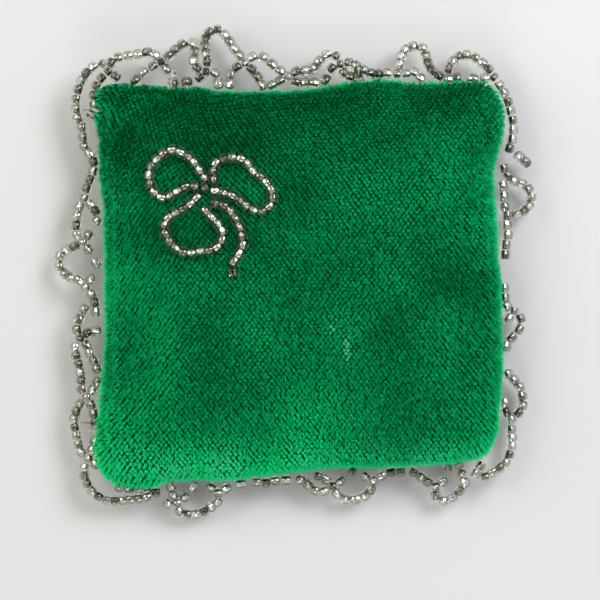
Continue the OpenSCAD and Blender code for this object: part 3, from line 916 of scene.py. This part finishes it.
def makeStitches():
    # slanted stitches over the seam, front to back
    line = surface[seamRow]
    length = np.linalg.norm(np.roll(line, -1, 0) - line, axis=1)
    along = np.concatenate([[0], np.cumsum(length)])
    parts = []
    draw = np.random.default_rng(12)
    for k in range(stitch["count"]):
        at = along[-1] * (k + stitch["jitter"] * draw.uniform(-1, 1)) / stitch["count"]
        path = []
        for step in np.linspace(-1, 1, stitch["steps"]):
            where = (at + step * stitch["slant"]) % along[-1]
            column = np.interp(where, along, np.arange(pad["columns"] + 1))
            mid = sample(surface, np.array([seamRow]), np.array([column]))[0]
            out = unit(mid * [1, 1, 0])
            lift = stitch["proud"] * math.cos(step * math.pi / 2)
            inward = abs(step) ** 3 * stitch["buried"]
            point = mid + out * (pad["groove"] * stitch["inGroove"] + lift - inward)
            point = point + [0, 0, -step * stitch["reach"]]
            for again in range(stitch["passes"]):
                point = point - out * max(stitch["beadRoom"] - beadPathTree.find(point)[2], 0)
            path.append(point)
        parts.append(tube(path, stitch["radius"], stitch["sides"]))
    piece = meshPiece("seam_stitches", *joined(parts))
    place(piece, "cushion", "seam_thread", finish["seamThread"], "seam_thread")


makeStitches()
print("cloth, wadding and stitches made")


# pile of the velvet

pile = {
    "across": 1.0 * mm, "along": 0.67 * mm, "jitter": 0.13, "seamGap": 0.45 * mm,
    "drift": 1.2 * mm, "driftSize": 24 * mm,       # how far the rows wander
    "twistPlace": (-31 * mm, 30 * mm), "twistReach": 17 * mm, "twist": -0.36,
    "spikes": 7, "length": 1.02 * mm, "sunk": 0.15 * mm, "width": 0.22 * mm, "edgeWidth": 0.65,
    "rootSpread": 0.20 * mm, "tipSpread": 0.27, "lean": 0.50, "leanUneven": 0.3,
    "lengthUneven": 0.10, "wornShorter": 0.25, "droop": 0.35, "spin": 6.3,
    "swirl": 0.5, "swirlSizes": (11 * mm, 27 * mm),
    "leftLonger": 0.95, "rightLonger": 0.5, "topLonger": 0.55, "bottomLonger": 0.4,
    # the gradient paints light, the tone rising towards the bottom of the cushion; the edge values paint sheen, a
    # lighter tone and the rubbed colour on the steep sides
    "middleTone": 0.42, "gradient": 0.0036, "tuftTone": 0.19, "edgeSheenTone": 0.50, "edgeSheenShare": 0.16,
    "clouds": 0.48, "cloudSizes": (9 * mm, 22 * mm),
    # painted sheen in a band along the bottom edge: a lighter tone, and the rubbed colour in spots
    "bottomSheenFrom": -29 * mm, "bottomSheenDeep": 8 * mm, "bottomSheenCurve": 1.5, "bottomSheenTone": 0.38, "bottomSheenShare": 0.62,
    "bottomSheenSpots": 5 * mm,
    "beadRoom": 1.17 * mm, "beadNear": 3.2 * mm, "trims": 9, "trim": 0.8,
    "middleAt": 0.55, "arch": 0.06, "footWidth": 0.9, "pieces": 7,
}
# each strand: a ring of three at its foot, a ring of three at its middle, and its tip
strand = {
    "triangles": [[0, 2, 1], [0, 1, 4], [0, 4, 3], [1, 2, 5], [1, 5, 4], [2, 0, 3], [2, 3, 5],
                  [3, 4, 6], [4, 5, 6], [5, 3, 6]],
    "level": [0, 0, 0, 1, 1, 1, 2],
    # the tip share darkens the roots in the pile material: painted shade down in the pile
    "tip": [0.12, 0.12, 0.12, 0.75, 0.75, 0.75, 1.15],
    "across": [0.1, 0.5, 0.9, 0.1, 0.5, 0.9, 0.5],
    "margin": 0.1, "wide": 0.8, "high": 0.4,       # its share of its cell in the flat map
}
# from, to and half width of each rubbed mark, in millimetres
wornMarks = [((8.9, -11.2), (9.2, -14.8), 0.6), ((6.0, -8.9), (6.2, -9.3), 0.5)]
wornEdge, wornMost = 1.5, 0.75


def tuftPlaces():
    # staggered rows laid over the unrolled cloth, as [row, column] places in the surface grid
    columns, (twistX, twistY) = pad["columns"], pile["twistPlace"]
    reach = arc[seamRow].max()
    rowCount, tuftCount = int(2 * reach / pile["along"]), int(2 * reach / pile["across"])
    j, i = np.meshgrid(np.arange(rowCount), np.arange(tuftCount), indexing="ij")
    draw = np.random.default_rng(3)
    x = i + 0.5 * (j % 2) - tuftCount / 2 + draw.uniform(-1, 1, i.shape) * pile["jitter"]
    y = j - rowCount / 2 + draw.uniform(-1, 1, i.shape) * pile["jitter"]
    x, y = x * pile["across"], y * pile["along"]
    x = x + pile["drift"] * (cloud(x, y, pile["driftSize"], 21) - 0.5)
    y = y + pile["drift"] * (cloud(x, y, pile["driftSize"], 22) - 0.5)
    x, y = x.ravel() - twistX, y.ravel() - twistY
    twist = pile["twist"] * np.exp(-(x ** 2 + y ** 2) / pile["twistReach"] ** 2)
    x, y = x * np.cos(twist) - y * np.sin(twist), x * np.sin(twist) + y * np.cos(twist)
    x, y = x + twistX, y + twistY
    out = np.hypot(x, y)
    column = np.arctan2(y, x) / (2 * np.pi) * columns % columns
    c0 = np.floor(column).astype(int)
    share = (column - c0)[:, None]
    lengths = arc.T[c0 % columns] * (1 - share) + arc.T[(c0 + 1) % columns] * share
    lengths = lengths[:, :seamRow + 1]
    keep = out < lengths[:, -1] - pile["seamGap"]
    out, column, lengths = out[keep], column[keep], lengths[keep]
    row = np.clip((lengths <= out[:, None]).sum(1) - 1, 0, seamRow - 1)
    index = np.arange(len(row))
    low, high = lengths[index, row], lengths[index, row + 1]
    return row + (out - low) / (high - low), column


def wornShare(points):
    # highest inside the rubbed marks, 0 away from them
    worn = np.zeros(len(points))
    for a, b, width in wornMarks:
        away = distanceToLine(points[:, :2], a, b)
        worn = np.maximum(worn, np.clip(wornEdge - away / (width * mm), 0, 1))
    return worn * wornMost


def makePile():
    row, column = tuftPlaces()
    root = sample(surface, row, column)
    out = unit(sample(normals, row, column))
    count, spikes = len(root), pile["spikes"]
    draw = np.random.default_rng(11)

    def patches(size, seed):
        return cloud(root[:, 0], root[:, 1], size, seed)

    def uneven(amount):
        return 1 + amount * draw.uniform(-1, 1, (count, spikes, 1))

    fine, broad = pile["swirlSizes"]
    swirl = (patches(fine, 31) - 0.5) * 2 * pile["swirl"]
    swirl = swirl + (patches(broad, 32) - 0.5) * pile["swirl"]
    aim = np.stack([np.sin(swirl), -np.cos(swirl), -pile["droop"] * np.ones(count)], -1)
    aim = unit(aim - out * (aim * out).sum(1, keepdims=True))

    fine, broad = pile["cloudSizes"]
    steep = np.clip(1 - out[:, 2], 0, 1)
    # painted sheen in a band along the bottom edge
    bottomSheen = np.clip((pile["bottomSheenFrom"] - root[:, 1]) / pile["bottomSheenDeep"], 0, 1) ** pile["bottomSheenCurve"]
    # painted light: the tone rises towards the bottom of the cushion
    tone = pile["middleTone"] - pile["gradient"] * root[:, 1] / mm
    tone = tone + pile["clouds"] * (patches(fine, 41) + patches(broad, 42) - 1)
    tone = tone + pile["tuftTone"] * draw.uniform(-1, 1, count)
    # painted sheen: a lighter tone on the steep sides and in the bottom band
    tone = tone + pile["edgeSheenTone"] * steep + pile["bottomSheenTone"] * bottomSheen
    # share of the rubbed colour: the real rubbed marks, and painted sheen in the bottom band and on the steep
    # sides
    worn = np.maximum(wornShare(root), pile["bottomSheenShare"] * bottomSheen * patches(pile["bottomSheenSpots"], 43))
    worn = np.maximum(worn, pile["edgeSheenShare"] * steep)

    offAxis = [0.23, 0.11, 0.05]
    side = unit(np.cross(out, offAxis + 0 * out))
    across = np.cross(out, side)
    angle = 2 * np.pi * (np.arange(spikes)[None, :] / spikes)
    angle = angle + draw.uniform(0, pile["spin"], (count, 1))
    away = np.cos(angle)[..., None] * side[:, None] + np.sin(angle)[..., None] * across[:, None]
    away = away * np.sqrt(draw.random((count, spikes, 1)))
    foot = root[:, None] - out[:, None] * pile["sunk"] + away * pile["rootSpread"]
    lean = pile["lean"] * uneven(pile["leanUneven"])
    ahead = unit(out[:, None] + aim[:, None] * lean + away * pile["tipSpread"])
    length = pile["length"] * uneven(pile["lengthUneven"])
    length = length * (1 - pile["wornShorter"] * worn[:, None, None])
    left, right = -out[:, 0] * pile["leftLonger"], out[:, 0] * pile["rightLonger"]
    below, above = -out[:, 1] * pile["bottomLonger"], out[:, 1] * pile["topLonger"]
    longer = np.where(out[:, 0] < 0, left, right) + np.where(out[:, 1] < 0, below, above)
    length = length * (1 + longer[:, None, None])

    foot, ahead, length = foot.reshape(-1, 3), ahead.reshape(-1, 3), length.reshape(-1)
    near = np.nonzero([beadPathTree.find(point)[2] < pile["beadNear"] for point in foot])[0]
    for trial in range(pile["trims"]):
        tips = foot[near] + ahead[near] * length[near, None]
        blocked = np.array([beadPathTree.find(tip)[2] for tip in tips]) < pile["beadRoom"]
        length[near[blocked]] *= pile["trim"]
    out, tone, worn = [np.repeat(values, spikes, 0) for values in (out, tone, worn)]
    makeSpikes(foot, ahead, length, out, tone, worn, count)


def makeSpikes(foot, ahead, length, out, tone, worn, tufts):
    spikes, corners = pile["spikes"], len(strand["level"])
    offAxis = [0.31, 0.93, 0.17]
    side = unit(np.cross(ahead, offAxis + 0 * ahead))
    up = np.cross(ahead, side)
    turn = 2 * np.pi * np.arange(3)[None, :, None] / 3
    ring = side[:, None] * np.cos(turn) + up[:, None] * np.sin(turn)
    reach = length[:, None]
    mid = foot + ahead * reach * pile["middleAt"] + out * reach * pile["arch"]
    tip = foot + ahead * reach
    steep = np.clip(1 - out[:, 2], 0, 1)
    width = (pile["width"] / 2 * (1 - (1 - pile["edgeWidth"]) * steep))[:, None, None]
    points = np.concatenate([foot[:, None] + ring * width * pile["footWidth"],
                             mid[:, None] + ring * width, tip[:, None]], 1)
    base, level = np.array(strand["triangles"]), np.array(strand["level"])
    across, margin = np.array(strand["across"]), strand["margin"]
    edges = np.linspace(0, tufts, pile["pieces"] + 1).astype(int)
    for k in range(pile["pieces"]):
        part = slice(edges[k] * spikes, edges[k + 1] * spikes)
        n = part.stop - part.start
        cells = int(math.ceil(math.sqrt(edges[k + 1] - edges[k])))
        tuft, spike = np.arange(n) // spikes, np.arange(n) % spikes
        u = ((tuft % cells)[:, None] + margin + strand["wide"] * across[None, :]) / cells
        v = (spike[:, None] + margin + strand["high"] * level[None, :]) / spikes
        v = ((tuft // cells)[:, None] + v) / cells
        triangles = base[None] + corners * np.arange(n)[:, None, None]
        piece = meshPiece("velvet_pile_%d" % (k + 1), points[part].reshape(-1, 3),
                          triangles.reshape(-1, 3), uvs=np.stack([u, v], -1).reshape(-1, 2),
                          tone=np.repeat(tone[part], corners), tip=np.tile(strand["tip"], n),
                          worn=np.repeat(worn[part], corners))
        place(piece, "cushion", "velvet", finish["pile"])
    print("pile:", tufts, "tufts,", len(foot) * len(base), "triangles")


makePile()


# beading threads, kept as the frame has them

for name, node in frame["nodes"].items():
    if name.endswith("_thread") and name != "seam_thread":
        node.data.materials.clear()
        node.data.materials.append(finish["beadThread"])
